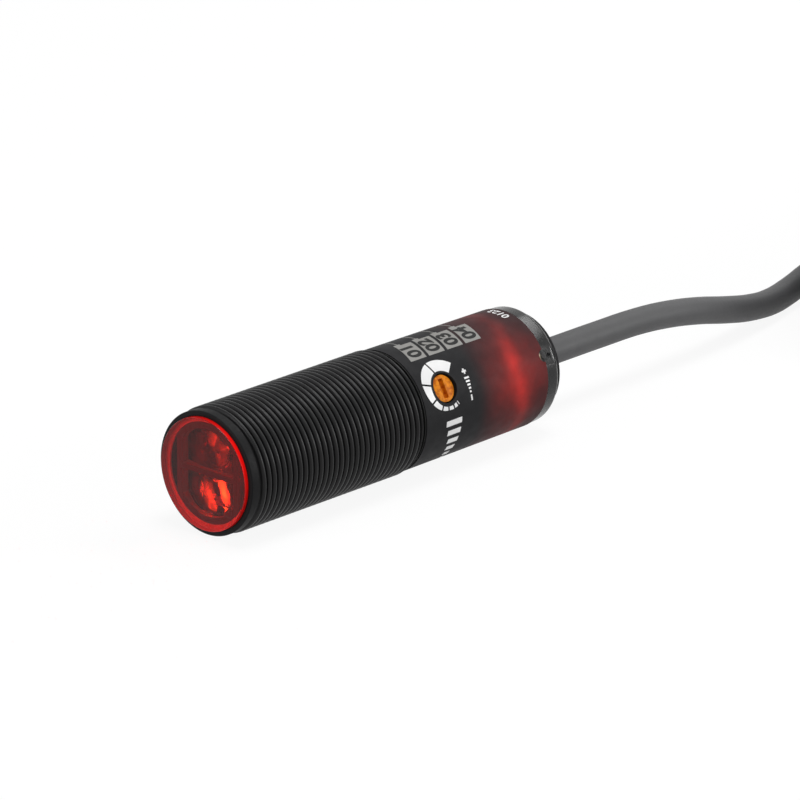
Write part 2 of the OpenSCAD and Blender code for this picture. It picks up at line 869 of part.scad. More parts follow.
// Place on a core at a share of its length: it spreads out from the sheath first, then settles
function core_point(i, share) =
    let(spread = clamp01(share * core_steps), settled = clamp01(share * core_steps / 2),
        gone = core_d + share * (core_len - core_d), q = (cable_d + gone) / hank_run,
        from = core_offset * core_places[i], height = hank_finish[2] + from[1],
        x = from[0] + (core_spread[i] - from[0]) * spread - drawn_in(q),
        z = height + (core_rest_z - height) * settled)
    [hank_finish[0] + x, hank_finish[1] - gone, z];

module core(i) {
    color(core_colours[i])
        swept_tube(concat([core_start(i)], [for (k = [0:core_steps]) core_point(i, k / core_steps)]),
            core_d / 2, 8);
}

module core_brown() { core(0); }
module core_blue() { core(1); }
module core_black() { core(2); }
module core_white() { core(3); }

module core_tips() {
    color("silver")
        for (i = [0:3]) {
            tip = core_point(i, 1);
            swept_tube([tip, tip + tip_len * unit(tip - core_point(i, 1 - 1 / core_steps))], tip_d / 2, 8);
        }
}

front_window();
window_seal();
front_ring();
threaded_barrel();
lens_holder();
receiver_lens();
emitter_lens();
receiver_photodiode();
emitter_led();
optics_board();
amplifier_chip();
amplifier_shield();
main_board();
logic_chip();
output_transistor();
protection_diode();
smoothing_capacitor();
board_resistors();
board_capacitors();
operation_lamp();
stability_lamp();
trimmer_base();
sensitivity_adjuster();
adjuster_seal();
rear_sleeve();
sleeve_seal();
label_film();
rear_plug();
cable_bush();
cable_clamp();
cable_tail();
lead_brown();
lead_blue();
lead_black();
lead_white();
supply_cable();
cable_hank();
cable_tie();
core_brown();
core_blue();
core_black();
core_white();
core_tips();
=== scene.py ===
"""A cylindrical photoelectric sensor on its supply cable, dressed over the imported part.

The part lies along Y, with its window towards -Y. Lengths in millimetres become metres through MM.
"Depth" is the distance behind the window's face, and "turn" is the angle in degrees round the
barrel's axis, from the right-hand side (+X) towards the top (+Z).
"""

import json
import math

import bmesh
import bpy
from mathutils import Matrix, Vector


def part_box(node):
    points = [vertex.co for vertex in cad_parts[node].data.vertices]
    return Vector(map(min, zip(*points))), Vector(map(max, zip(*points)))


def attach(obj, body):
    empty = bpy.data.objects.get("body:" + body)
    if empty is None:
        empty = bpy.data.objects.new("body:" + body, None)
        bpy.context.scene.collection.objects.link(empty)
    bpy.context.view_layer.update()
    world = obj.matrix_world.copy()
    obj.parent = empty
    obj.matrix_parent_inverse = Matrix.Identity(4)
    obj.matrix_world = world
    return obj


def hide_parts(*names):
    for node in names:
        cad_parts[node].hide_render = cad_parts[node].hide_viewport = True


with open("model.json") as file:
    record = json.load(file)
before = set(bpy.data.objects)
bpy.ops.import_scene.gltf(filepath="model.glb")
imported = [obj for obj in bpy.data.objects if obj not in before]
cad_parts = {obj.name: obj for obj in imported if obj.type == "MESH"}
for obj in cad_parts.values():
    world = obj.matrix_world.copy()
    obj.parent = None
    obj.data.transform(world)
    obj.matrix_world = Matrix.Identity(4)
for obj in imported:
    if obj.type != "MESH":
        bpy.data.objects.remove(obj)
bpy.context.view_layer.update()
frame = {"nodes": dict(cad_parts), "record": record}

MM = 0.001


def radius_of(node):
    """Half the width of a round CAD node, in millimetres."""
    low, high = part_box(node)
    return (high.x - low.x) / 2 / MM


def depths_of(node):
    """Where a CAD node starts and ends behind the window's face, in millimetres."""
    low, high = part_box(node)
    return (low.y - FACE_Y) / MM, (high.y - FACE_Y) / MM


# Measures of the body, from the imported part
FACE_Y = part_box("front_window")[0].y
AXIS_Z = (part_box("threaded_barrel")[0].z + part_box("threaded_barrel")[1].z) / 2
WINDOW_R = radius_of("front_window")
RING_BACK = depths_of("front_ring")[1]
CREST_R = radius_of("threaded_barrel")
SEAT_DEPTH, BARREL_END = depths_of("threaded_barrel")
BODY_LEN = depths_of("rear_plug")[1]
LABEL_START, LABEL_END = depths_of("label_film")
LABEL_FRONT_R = radius_of("label_film")

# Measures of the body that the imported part's boxes do not give
THREAD_PITCH = 1.0
THREAD_DEPTH = 0.6
THREAD_RUN_OUT = 0.45 * THREAD_PITCH
RIDGE_WIDTH = 0.88
FRONT_LAND = 0.3
REAR_LAND = 0.3
BARREL_WALL = 1.2
SLEEVE_LEN = 27.7
SLEEVE_DRAFT = 0.2
LABEL_SLOPE = SLEEVE_DRAFT / SLEEVE_LEN
ROOT_R = CREST_R - THREAD_DEPTH
BORE_R = ROOT_R - BARREL_WALL
THREAD_START = RING_BACK + FRONT_LAND
THREAD_LEN = BARREL_END - REAR_LAND - THREAD_START
ADJUSTER_SET_BACK = 5.0
ADJUSTER_DEPTH = BARREL_END + ADJUSTER_SET_BACK
ADJUSTER_TURN = 28.5
NOTCH_TURN = 26.0

# Measures of the cable and its hank
CABLE_D = 4.0
CORE_D = 1.1
CORE_LEN = 44.0
TIP_D = 0.6
TIP_LEN = 6.0
TIE_T = 1.0
TIE_GAP = 0.25
HANK_RUN = 72.0
HANK_INNER_R = 12.0
HANK_TURN_GAP = 0.75
HANK_LAYER_GAP = 0.5
HANK_STEP = CABLE_D + HANK_TURN_GAP
HANK_RISE = CABLE_D + HANK_LAYER_GAP
HANK_LOOPS = 7.5
LOOPS_PER_LAYER = 2
HANK_OUTER_R = HANK_INNER_R + LOOPS_PER_LAYER * HANK_STEP
HANK_WAIST = 6.0
HANK_FLOOR = TIE_T + TIE_GAP + CABLE_D / 2
HANK_X = 14.5
HANK_NEAR_Y = 112.0
RUN_SHARE = 1 / 3
LEAD_IN = CABLE_D

# How finely the meshes are cut, how near points are joined, and which edges count as sharp
THREAD_SEGMENTS = 120
THREAD_ROWS = 16
THREAD_WELD = 0.002
CAD_WELD = 0.0005
NUMERAL_WELD = 0.001
PRINT_WELD = 0.0001
SHADE_ANGLE = math.radians(32.0)
CREST_ANGLE = math.radians(75.0)
ROUND_ANGLE = math.radians(40.0)
FLAT_ANGLE = math.radians(0.4)


def clamp01(value):
    """The value held between 0 and 1."""
    return min(1.0, max(0.0, value))


# Nodes


def put(tree, kind, inputs=None, **settings):
    """A new node; each input is a plain value, or a socket to link."""
    node = tree.nodes.new(kind)
    for key, value in settings.items():
        setattr(node, key, value)
    for key, value in (inputs or {}).items():
        if isinstance(value, bpy.types.NodeSocket):
            tree.links.new(value, node.inputs[key])
        else:
            node.inputs[key].default_value = value
    return node


def calc(tree, operation, *values):
    """One step of arithmetic, in a shader tree or a geometry tree."""
    return put(tree, "ShaderNodeMath", dict(enumerate(values)), operation=operation).outputs[0]


def bell(tree, value, middle, width):
    """exp(-((value - middle) / width)^2)"""
    offset = calc(tree, "DIVIDE", calc(tree, "SUBTRACT", value, middle), width)
    return calc(tree, "EXPONENT", calc(tree, "MULTIPLY", calc(tree, "MULTIPLY", offset, offset), -1.0))


def ease(tree, value, start, stop, first=0.0, last=1.0):
    """A smooth step from one value to another."""
    sockets = {"Value": value, "From Min": start, "From Max": stop, "To Min": first, "To Max": last}
    return put(tree, "ShaderNodeMapRange", sockets, interpolation_type="SMOOTHSTEP").outputs["Result"]


def blend(tree, share, first, second):
    """A colour between two others."""
    mix = put(tree, "ShaderNodeMix", {0: share, 6: first, 7: second}, data_type="RGBA")
    return mix.outputs[2]


def parts_of(tree, vector):
    """The X, Y and Z of a vector."""
    return put(tree, "ShaderNodeSeparateXYZ", {"Vector": vector}).outputs


def vector_of(tree, x, y, z):
    """The vector with this X, Y and Z."""
    return put(tree, "ShaderNodeCombineXYZ", {"X": x, "Y": y, "Z": z}).outputs["Vector"]


# Materials


def rgba(colour, factor=1.0):
    """An opaque colour, with its channels scaled."""
    return tuple(channel * factor for channel in colour) + (1.0,)


def new_material(name):
    """An empty material and its node tree."""
    material = bpy.data.materials.new(name)
    material.use_nodes = True
    material.node_tree.nodes.clear()
    return material, material.node_tree


def object_place(tree):
    """A surface point in the piece's own coordinates, in metres."""
    return put(tree, "ShaderNodeTexCoord").outputs["Object"]


def speckle(tree, size_mm, detail=3.0):
    """A noise whose spots have about the size given."""
    sockets = {"Vector": object_place(tree), "Scale": 1 / (size_mm * MM), "Detail": detail}
    return put(tree, "ShaderNodeTexNoise", sockets).outputs["Fac"]


def varied(tree, noise, middle, change):
    """A value that a noise moves by a small change either way."""
    return ease(tree, noise, 0.3, 0.7, middle - change, middle + change)


def relief(tree, heights, depth_mm):
    """The surface's direction where a pattern of heights roughens it."""
    sockets = {"Height": heights, "Distance": depth_mm * MM, "Strength": 1.0}
    return put(tree, "ShaderNodeBump", sockets).outputs["Normal"]


def principled(tree, sockets):
    """A surface shader with these sockets set."""
    return put(tree, "ShaderNodeBsdfPrincipled", sockets).outputs["BSDF"]


def show(tree, shader):
    """Makes a shader the material's surface."""
    put(tree, "ShaderNodeOutputMaterial", {"Surface": shader})


def moulded(name, colour, roughness, mottle=0.12, grain_mm=0.5, relief_mm=0.004, specular=0.5, soft=0.0):
    """A moulded piece: colour and gloss vary a little over a fine grain; a soft one lets light in."""
    material, tree = new_material(name)
    grain = speckle(tree, grain_mm)
    broad = speckle(tree, 8 * grain_mm)
    body = {
        "Base Color": blend(tree, broad, rgba(colour, 1 - mottle), rgba(colour, 1 + mottle)),
        "Roughness": varied(tree, grain, roughness, 0.04),
        "Specular IOR Level": specular,
        "Subsurface Weight": soft,
        "Normal": relief(tree, grain, relief_mm),
    }
    show(tree, principled(tree, body))
    return material


def through_shadow(tree, glass, shade, share=None):
    """Lets lamp light through a clear piece, tinted by the shade; a share limits it to some places."""
    passed = put(tree, "ShaderNodeBsdfTransparent", {"Color": rgba(shade)}).outputs["BSDF"]
    shadow_ray = put(tree, "ShaderNodeLightPath").outputs["Is Shadow Ray"]
    if share is not None:
        shadow_ray = calc(tree, "MULTIPLY", shadow_ray, share)
    return put(tree, "ShaderNodeMixShader", {0: shadow_ray, 1: glass, 2: passed}).outputs["Shader"]


def red_filter():
    """The window's clear red plastic, with a slight haze."""
    colour = (0.88, 0.05, 0.03)
    light_tint = (0.95, 0.22, 0.17)
    haze_mm = 3.0
    material, tree = new_material("red_filter_plastic")
    haze = speckle(tree, haze_mm)
    body = {
        "Base Color": blend(tree, haze, rgba(colour, 0.96), rgba(colour)),
        "Roughness": varied(tree, haze, 0.03, 0.009),
        "IOR": 1.28,
        "Transmission Weight": 1.0,
    }
    show(tree, through_shadow(tree, principled(tree, body), light_tint))
    return material


def faceted_lens():
    """A clear lens of many small facets, which break up the light of the lamp behind it; its -X side is
    painted dark, as painted shade that keeps the glints to the +X side.
    """
    facet_mm = 2.6
    facet_depth_mm = 0.9
    pattern_shift = (1.1 * MM, 0.0, 0.7 * MM)
    painted_shade_until = -0.5 * MM
    painted_shade_clear_from = 1.5 * MM
    light_tint = (0.95, 0.95, 0.95)
    material, tree = new_material("faceted_lens")
    place = object_place(tree)
    moved = put(tree, "ShaderNodeMapping", {"Vector": place, "Location": pattern_shift})
    cells = {"Vector": moved.outputs["Vector"], "Scale": 1 / (facet_mm * MM)}
    facets = put(tree, "ShaderNodeTexVoronoi", cells).outputs["Distance"]
    # Painted shade: the lens darkens towards -X.
    side = ease(tree, parts_of(tree, place)["X"], painted_shade_until, painted_shade_clear_from)
    body = {
        "Base Color": blend(tree, side, (0.2, 0.18, 0.17, 1.0), (0.98, 0.97, 0.95, 1.0)),
        "Roughness": 0.02,
        "IOR": 1.49,
        "Transmission Weight": 1.0,
        "Normal": relief(tree, facets, facet_depth_mm),
    }
    show(tree, through_shadow(tree, principled(tree, body), light_tint))
    return material


def metal(name, colour, roughness):
    """Tinned metal with fine scratches along the part."""
    scratch_mm = 0.15
    squeeze = 0.08
    material, tree = new_material(name)
    stretch = put(tree, "ShaderNodeMapping", {"Vector": object_place(tree), "Scale": (1.0, squeeze, 1.0)})
    sockets = {"Vector": stretch.outputs["Vector"], "Scale": 1 / (scratch_mm * MM), "Detail": 2.0}
    scratches = put(tree, "ShaderNodeTexNoise", sockets).outputs["Fac"]
    body = {
        "Base Color": blend(tree, scratches, rgba(colour, 0.85), rgba(colour, 1.1)),
        "Roughness": varied(tree, scratches, roughness, 0.06),
        "Metallic": 1.0,
    }
    show(tree, principled(tree, body))
    return material


def lit(name, colour, strength, spread_mm=0.9, least=0.8):
    """A glowing surface: a lamp that is switched on, or a painted glow on a part that is no lamp; its light
    varies over it, down to the least share.
    """
    material, tree = new_material(name)
    uneven = speckle(tree, spread_mm)
    patches = ease(tree, uneven, 0.42, 0.58, least * strength, strength)
    body = {
        "Base Color": blend(tree, uneven, rgba(colour, 0.7), rgba(colour)),
        "Roughness": 0.25,
        "Emission Color": rgba(colour),
        "Emission Strength": patches,
    }
    show(tree, principled(tree, body))
    return material


def depth_and_turn(tree):
    """A surface point's depth in millimetres and its turn in degrees."""
    place = parts_of(tree, object_place(tree))
    depth = calc(tree, "DIVIDE", calc(tree, "SUBTRACT", place["Y"], FACE_Y), MM)
    height = calc(tree, "SUBTRACT", place["Z"], AXIS_Z)
    turn = calc(tree, "DEGREES", calc(tree, "ARCTAN2", height, place["X"]))
    return depth, turn


def arc(tree, turn, middle, spread, level):
    """A level that holds at one turn and fades round the barrel to both sides."""
    return calc(tree, "MULTIPLY", bell(tree, turn, middle, spread), level)


def glow_line(tree, depth, turn, middle):
    """A bright line round the label at a depth, which bows back towards its ends."""
    bow_turn = 25.0
    bow_spread = 30.0
    bow_mm = 0.7
    most_bow_mm = 1.6
    line_mm = 1.3
    level = 0.26
    off = calc(tree, "DIVIDE", calc(tree, "SUBTRACT", turn, bow_turn), bow_spread)
    bow = calc(tree, "MULTIPLY", calc(tree, "MULTIPLY", off, off), bow_mm)
    bowed = calc(tree, "ADD", calc(tree, "MINIMUM", bow, most_bow_mm), middle)
    return calc(tree, "MULTIPLY", bell(tree, depth, bowed, line_mm), level)


def lamp_glow(tree):
    """The lit lamp under the label: a bright line in a wider, cloudy haze."""
    line_depth = 53.5
    haze_from = 45.0
    haze_level = 0.2
    fade_from = 54.0
    fade_to = 59.5
    faded_share = 0.45
    brightest_turn = 20.0
    spread = 33.0
    far_share = 0.2
    cloud_mm = 2.5
    depth, turn = depth_and_turn(tree)
    line = glow_line(tree, depth, turn, line_depth)
    rise = ease(tree, depth, haze_from, line_depth, 0.0, haze_level)
    fall = ease(tree, depth, fade_from, fade_to, 1.0, faded_share)
    glow = calc(tree, "ADD", line, calc(tree, "MULTIPLY", rise, fall))
    around = calc(tree, "ADD", arc(tree, turn, brightest_turn, spread, 1 - far_share), far_share)
    cloud = ease(tree, speckle(tree, cloud_mm), 0.25, 0.75, 0.8, 1.2)
    return calc(tree, "MULTIPLY", calc(tree, "MULTIPLY", glow, around), cloud)


def label_black():
    """The label: satin black film, with the lit lamp under it glowing through near its rear end."""
    material, tree = new_material("label_black_film")
    grain = speckle(tree, 0.25)
    body = {
        "Base Color": blend(tree, grain, (0.006, 0.006, 0.007, 1.0), (0.010, 0.010, 0.011, 1.0)),
        "Roughness": varied(tree, speckle(tree, 1.5), 0.62, 0.04),
        "Specular IOR Level": 0.12,
        "Normal": relief(tree, grain, 0.002),
        "Emission Color": (1.0, 0.03, 0.018, 1.0),
        "Emission Strength": lamp_glow(tree),
    }
    show(tree, principled(tree, body))
    return material


def sleeve_plastic():
    """Smoky clear plastic at the rim, black under the label, and a pale edge in the label's notch."""
    rim_blend = 0.1
    notch_len = 0.7
    pip_spread = 5.0
    edge_mm = 0.15
    edge_turn = NOTCH_TURN + 1.0
    edge_spread = 3.5
    material, tree = new_material("smoky_sleeve")
    depth, turn = depth_and_turn(tree)
    rim = ease(tree, depth, LABEL_END - rim_blend, LABEL_END + rim_blend)
    pip = arc(tree, turn, NOTCH_TURN, pip_spread, bell(tree, depth, LABEL_END, notch_len))
    bare = calc(tree, "MULTIPLY", rim, calc(tree, "SUBTRACT", 1.0, pip))
    edge = arc(tree, turn, edge_turn, edge_spread, bell(tree, depth, LABEL_END - notch_len, edge_mm))
    black = blend(tree, edge, (0.008, 0.008, 0.008, 1.0), (0.5, 0.41, 0.29, 1.0))
    haze = speckle(tree, 2.0)
    smoky = blend(tree, haze, (0.02, 0.021, 0.022, 1.0), (0.03, 0.031, 0.032, 1.0))
    body = {
        "Base Color": blend(tree, bare, black, smoky),
        "Roughness": ease(tree, bare, 0.0, 1.0, 0.6, 0.2),
        "IOR": 1.38,
        "Specular IOR Level": 0.4,
        "Transmission Weight": bare,
    }
    show(tree, through_shadow(tree, principled(tree, body), (0.6, 0.6, 0.62), bare))
    return material


def adjuster_plastic():
    """Orange plastic, blotched by handling."""
    material, tree = new_material("adjuster_orange")
    blotch = ease(tree, speckle(tree, 0.7, 2.0), 0.35, 0.65)
    grain = speckle(tree, 0.2)
    body = {
        "Base Color": blend(tree, blotch, (0.42, 0.085, 0.002, 1.0), (0.72, 0.23, 0.006, 1.0)),
        "Roughness": varied(tree, grain, 0.475, 0.075),
        "Specular IOR Level": 0.1,
        "Normal": relief(tree, grain, 0.01),
    }
    show(tree, principled(tree, body))
    return material


def window_edge_painted_glow():
    """The window's ground edge, with a painted glow that stands for the light running inside the red
    plastic: strongest towards the upper right, faint at the bottom.
    """
    material, tree = new_material("red_window_edge")
    uneven = speckle(tree, 1.5)
    turn = depth_and_turn(tree)[1]
    # Painted light: the glow is strongest round turn 40 and faint round turn -100.
    upper = arc(tree, turn, middle=40.0, spread=45.0, level=0.55)
    lower = arc(tree, turn, middle=-100.0, spread=40.0, level=0.15)
    body = {
        "Base Color": blend(tree, uneven, (0.4, 0.003, 0.003, 1.0), (0.5, 0.004, 0.003, 1.0)),
        "Roughness": 0.35,
        "Specular IOR Level": 0.2,
        "Emission Color": (0.9, 0.003, 0.002, 1.0),
        "Emission Strength": calc(tree, "ADD", upper, lower),
    }
    show(tree, principled(tree, body))
    return material


def cable_sheath(name, colour, roughness):
    """Soft plastic sheath with a faint mottle."""
    return moulded(name, colour, roughness, mottle=0.1, grain_mm=0.4, relief_mm=0.006, specular=0.25)


def make_materials():
    """Every finish of the sensor, by the record's slot."""
    return {
        "red_window": red_filter(),
        "clear_silicone": moulded("pale_silicone", (0.78, 0.75, 0.72), 0.45, soft=0.2),
        "black_plastic": moulded("black_plastic", (0.006, 0.006, 0.0065), 0.36, specular=0.2),
        "grey_plastic": moulded("dark_holder", (0.25, 0.24, 0.24), 0.4),
        "clear_lens": faceted_lens(),
        "chip_black": moulded("chip_black", (0.02, 0.02, 0.022), 0.5),
        "led_red": lit("lit_red_lamp", (1.0, 0.12, 0.03), 6.0),
        "led_green": lit("lit_green_lamp", (0.1, 0.8, 0.12), 0.8),
        "board_green": moulded("solder_mask_green", (0.02, 0.16, 0.07), 0.3, mottle=0.3),
        "tinned_metal": metal("tinned_metal", (0.7, 0.69, 0.66), 0.32),
        "capacitor_yellow": moulded("capacitor_yellow", (0.62, 0.36, 0.04), 0.45),
        "ceramic_tan": moulded("ceramic_tan", (0.36, 0.23, 0.12), 0.5),
        "trimmer_blue": moulded("trimmer_blue", (0.02, 0.08, 0.35), 0.4),
        "adjuster_orange": adjuster_plastic(),
        "black_rubber": moulded("black_rubber", (0.015, 0.015, 0.016), 0.55),
        "clear_sleeve": sleeve_plastic(),
        "label_print": label_black(),
        "cable_grey": cable_sheath("grey_sheath", (0.076, 0.076, 0.078), 0.55),
        "core_brown": cable_sheath("brown_core", (0.12, 0.035, 0.012), 0.4),
        "core_blue": cable_sheath("blue_core", (0.01, 0.05, 0.38), 0.4),
        "core_black": cable_sheath("black_core", (0.012, 0.012, 0.012), 0.4),
        "core_white": cable_sheath("white_core", (0.75, 0.75, 0.73), 0.4),
        "tie_white": moulded("natural_nylon", (0.68, 0.66, 0.6), 0.4, soft=0.1),
    }


FINISHES = make_materials()
PRINT_WHITE = moulded("print_white", (0.72, 0.72, 0.72), 0.4)
PRINT_GREY = moulded("print_grey", (0.235, 0.23, 0.218), 0.45, specular=0.2)
PRINT_BLACK = moulded("print_black", (0.008, 0.008, 0.008), 0.5, specular=0.12)
EMITTER_LIT = lit("lit_emitter", (1.0, 0.4, 0.12), 200.0, spread_mm=1.2, least=0.1)
# The photodiode is no lamp: its glow is painted light, so that glints show through the receiver lens.
RECEIVER_PAINTED_GLINT = lit("receiver_painted_glint", (1.0, 0.4, 0.12), 25.0, spread_mm=0.8, least=0.0)
WINDOW_EDGE_GLOW = window_edge_painted_glow()
RING_BLACK = moulded("ring_black", (0.005, 0.005, 0.0055), 0.52, specular=0.09)


# Pieces


def new_object(name, data):
    """An object in the scene for a mesh, a curve, a lamp or a camera."""
    made = bpy.data.objects.new(name, data)
    bpy.context.scene.collection.objects.link(made)
    return made


def taken_from(holder):
    """The plain mesh that an object shows; the object itself goes."""
    seen = holder.evaluated_get(bpy.context.evaluated_depsgraph_get())
    mesh = bpy.data.meshes.new_from_object(seen)
    bpy.data.objects.remove(holder)
    return mesh


def add_piece(name, mesh, slot, nodes=(), body="sensor", material=None):
    """An object for a finished mesh: its finish, its body and the CAD nodes that it stands for."""
    piece = new_object(name, mesh)
    mesh.materials.clear()
    mesh.materials.append(material or FINISHES[slot])
    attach(piece, body)
    if nodes:
        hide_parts(*nodes)
    return piece


def smooth(mesh):
    """Shades a mesh smooth, with its sharper edges kept."""
    mesh.shade_smooth()
    mesh.set_sharp_from_angle(angle=SHADE_ANGLE)
    return mesh


def around_axis(radius, depth, turn):
    """The point at a radius, a depth and a turn, in metres."""
    angle = math.radians(turn)
    x = radius * math.cos(angle) * MM
    z = radius * math.sin(angle) * MM
    return Vector((x, FACE_Y + depth * MM, AXIS_Z + z))


def merged_copy(node):
    """A CAD node's shape as one connected mesh with flat faces whole."""
    work = bmesh.new()
    work.from_mesh(frame["nodes"][node].data)
    bmesh.ops.remove_doubles(work, verts=work.verts, dist=CAD_WELD * MM)
    bmesh.ops.dissolve_limit(work, angle_limit=FLAT_ANGLE, verts=work.verts, edges=work.edges)
    return work


def to_mesh(work, name):
    """Working geometry as a smooth mesh."""
    mesh = bpy.data.meshes.new(name)
    work.to_mesh(mesh)
    work.free()
    return smooth(mesh)


def rounded_node(node, slot, width_mm, body="sensor"):
    """A CAD node's shape with its sharp edges broken."""
    work = merged_copy(node)
    joined = [edge for edge in work.edges if edge.is_manifold]
    sharp = [edge for edge in joined if edge.calc_face_angle(0.0) > ROUND_ANGLE]
    bmesh.ops.bevel(
        work, geom=sharp, offset=width_mm * MM, offset_type="WIDTH", segments=2, profile=0.5,
        affect="EDGES", clamp_overlap=True,
    )
    return add_piece(node + "_shown", to_mesh(work, node), slot, [node], body)


def smoothed_node(node, slot, material=None):
    """A CAD node's shape with its round faces shaded smooth."""
    mesh = to_mesh(merged_copy(node), node)
    return add_piece(node + "_shown", mesh, slot, [node], material=material)


def evaluated(name, base_mesh, *groups):
    """The plain mesh that geometry trees make of a base mesh; each group comes with its inputs."""
    holder = new_object(name, base_mesh)
    for group, values in groups:
        modifier = holder.modifiers.new(group.name, "NODES")
        modifier.node_group = group
        for item in group.interface.items_tree:
            if item.item_type == "SOCKET" and item.in_out == "INPUT" and item.name in values:
                modifier[item.identifier] = values[item.name]
    mesh = taken_from(holder)
    mesh.name = name
    return mesh


def new_tree(name, sizes, counts):
    """A geometry tree with a geometry input, float sizes, whole counts and a material."""
    tree = bpy.data.node_groups.new(name, "GeometryNodeTree")
    tree.interface.new_socket("Geometry", in_out="INPUT", socket_type="NodeSocketGeometry")
    for label in sizes:
        tree.interface.new_socket(label, in_out="INPUT", socket_type="NodeSocketFloat")
    for label in counts:
        tree.interface.new_socket(label, in_out="INPUT", socket_type="NodeSocketInt")
    tree.interface.new_socket("Material", in_out="INPUT", socket_type="NodeSocketMaterial")
    tree.interface.new_socket("Geometry", in_out="OUTPUT", socket_type="NodeSocketGeometry")
    return tree, tree.nodes.new("NodeGroupInput").outputs


def point_place(tree):
    """The X, Y and Z of each point of the mesh."""
    return parts_of(tree, put(tree, "GeometryNodeInputPosition").outputs["Position"])


def moved_to(tree, geometry, x, y, z):
    """A mesh with its points at new places."""
    sockets = {"Geometry": geometry, "Position": vector_of(tree, x, y, z)}
    return put(tree, "GeometryNodeSetPosition", sockets).outputs["Geometry"]


def joined_up(tree, geometry, distance_mm):
    """A mesh with its points joined where they lie within a distance."""
    sockets = {"Geometry": geometry, "Distance": distance_mm * MM}
    return put(tree, "GeometryNodeMergeByDistance", sockets).outputs["Geometry"]


def close_tree(tree, geometry, material):
    """Ends a geometry tree with real faces that carry the material."""
    real = put(tree, "GeometryNodeRealizeInstances", {"Geometry": geometry}).outputs["Geometry"]
    painted = put(tree, "GeometryNodeSetMaterial", {"Geometry": real, "Material": material})
    put(tree, "NodeGroupOutput", {"Geometry": painted.outputs["Geometry"]})


# Camera, light and floor


def add_camera():
    """The camera of the photograph: it looks at the aim point from a bearing and a height angle."""
    aim = Vector((16.94, -10.87, 18.51)) * MM
    bearing = math.radians(43.592)
    height = math.radians(19.716)
    distance = 981.072 * MM
    back = Vector((
        math.cos(height) * math.sin(bearing), -math.cos(height) * math.cos(bearing), math.sin(height)))
    right = Vector((math.cos(bearing), math.sin(bearing), 0.0))
    up = back.cross(right)
    lens = bpy.data.cameras.new("camera")
    lens.sensor_width = 36.0
    lens.lens = 327.32
    lens.clip_start = 0.05
    lens.clip_end = 20.0
    camera = new_object("camera", lens)
    turned = Matrix((right, up, back)).transposed().to_4x4()
    camera.matrix_world = Matrix.Translation(aim + back * distance) @ turned
    bpy.context.scene.camera = camera


def seen_directly(tree):
    """1 for what the camera, a reflection or a clear piece shows, and 0 for what lights a surface."""
    path = put(tree, "ShaderNodeLightPath").outputs
    shown = calc(tree, "MAXIMUM", path["Is Camera Ray"], path["Is Glossy Ray"])
    return calc(tree, "MAXIMUM", shown, path["Is Transmission Ray"])


def add_world(level):
    """A white room that lights the part at a plain level."""
    world = bpy.data.worlds.new("white_room")
    world.use_nodes = True
    tree = world.node_tree
    tree.nodes.clear()
    strength = ease(tree, seen_directly(tree), 0.0, 1.0, level, 1.0)
    light = put(tree, "ShaderNodeBackground", {"Color": (1.0, 1.0, 1.0, 1.0), "Strength": strength})
    put(tree, "ShaderNodeOutputWorld", {"Surface": light.outputs["Background"]})
    bpy.context.scene.world = world


def add_softbox(name, place, aim, width, height, power):
    """A large soft lamp turned towards a point, in metres."""
    lamp = bpy.data.lights.new(name, "AREA")
    lamp.shape = "RECTANGLE"
    lamp.size = width
    lamp.size_y = height
    lamp.energy = power
    box = new_object(name, lamp)
    box.location = place
    box.rotation_euler = (Vector(aim) - Vector(place)).to_track_quat("-Z", "Y").to_euler()


def floor_white(shadow_share):
    """A floor that the camera sees as white paper with part of the shadows that fall on it."""
    paper_level = 1.03
    material, tree = new_material("white_floor")
    paper = speckle(tree, 40.0)
    tint = blend(tree, paper, (0.79, 0.79, 0.79, 1.0), (0.81, 0.81, 0.81, 1.0))
    diffuse = put(tree, "ShaderNodeBsdfDiffuse", {"Color": tint}).outputs["BSDF"]
    white = put(tree, "ShaderNodeEmission", {"Color": (1.0, 1.0, 1.0, 1.0), "Strength": paper_level})
    share = calc(tree, "MULTIPLY", seen_directly(tree), 1 - shadow_share)
    mixed = {0: share, 1: diffuse, 2: white.outputs["Emission"]}
    show(tree, put(tree, "ShaderNodeMixShader", mixed).outputs["Shader"])
    return material


def add_floor(shadow_share):
    """A plain pale floor under the part, twelve metres square."""
    half = 6.0
    mesh = bpy.data.meshes.new("floor")
    corners = [(-half, -half, 0.0), (half, -half, 0.0), (half, half, 0.0), (-half, half, 0.0)]
    mesh.from_pydata(corners, [], [(0, 1, 2, 3)])
    mesh.materials.append(floor_white(shadow_share))
    floor = new_object("floor", mesh)


def add_studio():
    """The photograph's view, four soft lamps, a white room and its floor."""
    add_camera()
    add_world(level=0.25)
    add_softbox("side_softbox", (0.66, 0.68, 0.24), (0.0, 0.02, 0.01), width=0.4, height=0.3, power=4.0)
    add_softbox("top_softbox", (0.1, 0.02, 0.85), (0.0, 0.0, 0.0), width=0.3, height=0.3, power=3.6)
    add_softbox("rear_softbox", (0.06, 0.7, 0.73), (0.0, 0.0, 0.01), width=0.8, height=0.25, power=2.6)
    add_softbox("front_softbox", (-0.25, -0.85, 0.2), (0.0, -0.03, 0.01), width=0.4, height=0.4, power=3.0)
    add_floor(shadow_share=0.12)


add_studio()

# Cable


def hank_layer(loops):
    """The layer that the cable is on after so many loops, from 0."""
    return math.floor(loops / LOOPS_PER_LAYER)


def hank_radius(loops):
    """The radius of the half turns there: inwards on even layers and outwards on odd ones."""
    done = loops - LOOPS_PER_LAYER * hank_layer(loops)
    if hank_layer(loops) % 2 == 0:
        return HANK_OUTER_R - HANK_STEP * done
    return HANK_INNER_R + HANK_STEP * done


